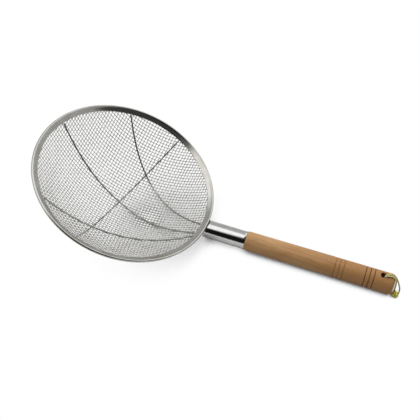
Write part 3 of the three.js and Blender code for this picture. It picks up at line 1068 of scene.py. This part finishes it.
def buildCordTree(knit, given):
    line = knit.node("GeometryNodeMeshToCurve", None, {"Mesh": given["Geometry"]})
    line = smoothLine(knit, line, given["Steps"])
    line = knit.node("GeometryNodeResampleCurve", {"mode": "LENGTH"}, {
        "Curve": line, "Length": given["Spacing"]})
    twist = knit.node("GeometryNodeSplineParameter", out="Length") * (2 * math.pi) / given["Lay"]
    line = knit.node("GeometryNodeSetCurveTilt", None, {"Curve": line, "Tilt": twist})
    section = knit.node("GeometryNodeObjectInfo", None, {"Object": given["Section"]}, "Geometry")
    return swept(knit, line, section, given["Material"])


cordTree = geometryTree("twisted_cord", {
    "Steps": "Int", "Spacing": "Float", "Lay": "Float", "Section": "Object",
    "Material": "Material"}, buildCordTree)


def makeCord(name, points, diameter, material, closed=False):
    section = sectionObject(name + "_section", diameter / 2 * mm)
    line = lineMesh(name + "_line", [points], closed=closed)
    made = bake(name, line, cordTree, {
        "Steps": cord["steps"], "Spacing": cord["spacing"] * mm, "Lay": cord["lay"] * mm,
        "Section": section}, material)
    bpy.data.objects.remove(section)
    return made


def spread(points, count):
    # points on the smooth curve through the route, close enough to carry its length
    ring = [points[0] * 2 - points[1]] + points + [points[-1] * 2 - points[-2]]
    out = []
    for a, b, c, d in zip(ring, ring[1:], ring[2:], ring[3:]):
        for k in range(count):
            t = k / count
            out.append(0.5 * (2 * b + (c - a) * t + (2 * a - 5 * b + 4 * c - d) * t ** 2
                              + (3 * b - a - 3 * c + d) * t ** 3))
    return out + [points[-1]]


def makeKnot(name, middle, unit, diameter):
    # a trefoil, drawn tight
    points = []
    for t in roundAngles(tied["points"]):
        p = Vector((math.sin(t) + 2 * math.sin(2 * t), 2 * math.sin(3 * t),
                    2 * math.cos(2 * t) - math.cos(t)))
        points.append(toWorld(holeFrame, Vector(middle) + p * unit))
    return makeCord(name, points, diameter, knotFibre, closed=True)


loopKnot = makeKnot("loop_knot_tied", *tied["loopKnot"])
dress(loopKnot, "cord_loop", "cord", "loop_knot")
stopperKnot = makeKnot("stopper_knot_tied", *tied["stopperKnot"])
dress(stopperKnot, "cord_loop", "cord", "stopper_knot")
for name, node in (("inner", "loop_strand_inner"), ("outer", "loop_strand_outer")):
    route = [toWorld(holeFrame, p) for p in cord[name]]
    path = spread(route, cord["pathSteps"])
    length = sum((b - a).length for a, b in zip(path, path[1:]))
    strand = makeCord("cord_" + name, route, cord["diameter"], cordFibre)
    dress(strand, "cord_loop", "cord", node)
    print("cord", name, round(length / mm, 1), "mm")


# floor, light and world

studio = {
    "floor": {"half": 6, "plain": 0.5, "mirrored": 0.98},  # half its width in metres, and its tones
    "shadow": {
        "reach": 0.25,  # metres
        "lean": (-0.5, 0.05, 0.86),
        "samples": 16,
        "bowl": (0.08, 0.66),  # how open the floor is where it looks black, and where it looks white
        "ferrule": (0.01, 0.51),  # paler, because polished steel throws light back
        "wood": (0.21, 0.555),
        "ferruleStarts": (-0.02, 0.01),  # metres along X
        "woodStarts": (0.032, 0.05),
    },
    "sky": 0.57,
    "glows": [((-0.30, 0.0, 0.95), 0.82, 0.97, 0.95),  # way, edge, core, level
              ((0.35, 0.65, 0.67), 0.84, 0.96, 0.8)],
    "darks": [((0.46, -0.40, 0.79), 0.775, 0.83, 0.88),
              ((0, -0.88, 0.47), 0.78, 0.91, 0.98)],
    "key": {"place": (-0.65, 0.12, 1.22), "aim": (0, 0, 0.03), "size": 0.8, "power": 4.0},
}


def floorShadow(knit):
    # 0 where the pieces close the floor in, 1 where it is open
    about = studio["shadow"]
    lean = knit.vector(*Vector(about["lean"]).normalized())
    clear = knit.node("ShaderNodeAmbientOcclusion", {"samples": about["samples"]}, {
        "Distance": about["reach"], "Normal": lean}, "AO")
    x = localPlace(knit, Matrix())[1]
    byFerrule, byWood = x.step(*about["ferruleStarts"]), x.step(*about["woodStarts"])
    black, white = (atBowl + byFerrule * (atFerrule - atBowl) + byWood * (atWood - atFerrule)
                    for atBowl, atFerrule, atWood in zip(about["bowl"], about["ferrule"], about["wood"]))
    return clear.step(black, white)


def makeFloor():
    about = studio["floor"]
    half = about["half"]
    mesh = bpy.data.meshes.new("floor")
    mesh.from_pydata([(-half, -half, 0), (half, -half, 0), (half, half, 0), (-half, half, 0)], [],
                     [(0, 1, 2, 3)])
    material = bpy.data.materials.new("pale_floor")
    material.use_nodes = True
    tree = material.node_tree
    tree.nodes.clear()
    knit = Knit(tree)
    seen = knit.node("ShaderNodeLightPath", out="Is Camera Ray")
    mirrored = knit.node("ShaderNodeLightPath", out="Is Glossy Ray")
    shade = (about["plain"] + mirrored * (about["mirrored"] - about["plain"])) * (1 - seen)
    matt = knit.node("ShaderNodeBsdfDiffuse", None, {"Color": shade})
    glow = knit.node("ShaderNodeEmission", None, {"Color": seen * floorShadow(knit)})
    both = knit.node("ShaderNodeAddShader", None, {0: matt, 1: glow})
    knit.node("ShaderNodeOutputMaterial", None, {"Surface": both})
    newObject("floor", mesh, material)


def makeWorld():
    world = bpy.data.worlds.new("studio")
    bpy.context.scene.world = world
    world.use_nodes = True
    tree = world.node_tree
    tree.nodes.clear()
    knit = Knit(tree)
    way = knit.node("ShaderNodeTexCoord", out="Generated")

    def patch(middle, edge, core, level):
        facing = knit.node("ShaderNodeVectorMath", {"operation": "DOT_PRODUCT"}, {
            0: way, 1: Vector(middle).normalized()}, "Value")
        return facing.step(edge, core) * level

    level = studio["sky"]
    for glow in studio["glows"]:
        level = level + patch(*glow)
    for dark in studio["darks"]:
        level = level * (1 - patch(*dark))
    seen = knit.node("ShaderNodeLightPath", out="Is Camera Ray")
    light = knit.node("ShaderNodeBackground", None, {
        "Color": tint(1, 1, 1), "Strength": level + seen * (1 - level)})
    knit.node("ShaderNodeOutputWorld", None, {"Surface": light})


def makeLamp(name):
    about = studio[name]
    lamp = bpy.data.lights.new(name, "AREA")
    lamp.size = about["size"]
    lamp.energy = about["power"]
    holder = placed(name, lamp)
    holder.visible_glossy = False  # the world's glow is what the steel mirrors
    way = Vector(about["aim"]) - Vector(about["place"])
    turn = way.to_track_quat("-Z", "Y").to_matrix().to_4x4()
    holder.matrix_world = Matrix.Translation(about["place"]) @ turn


makeFloor()
makeWorld()
makeLamp("key")
bpy.context.scene.view_settings.view_transform = "Standard"
print("studio made")
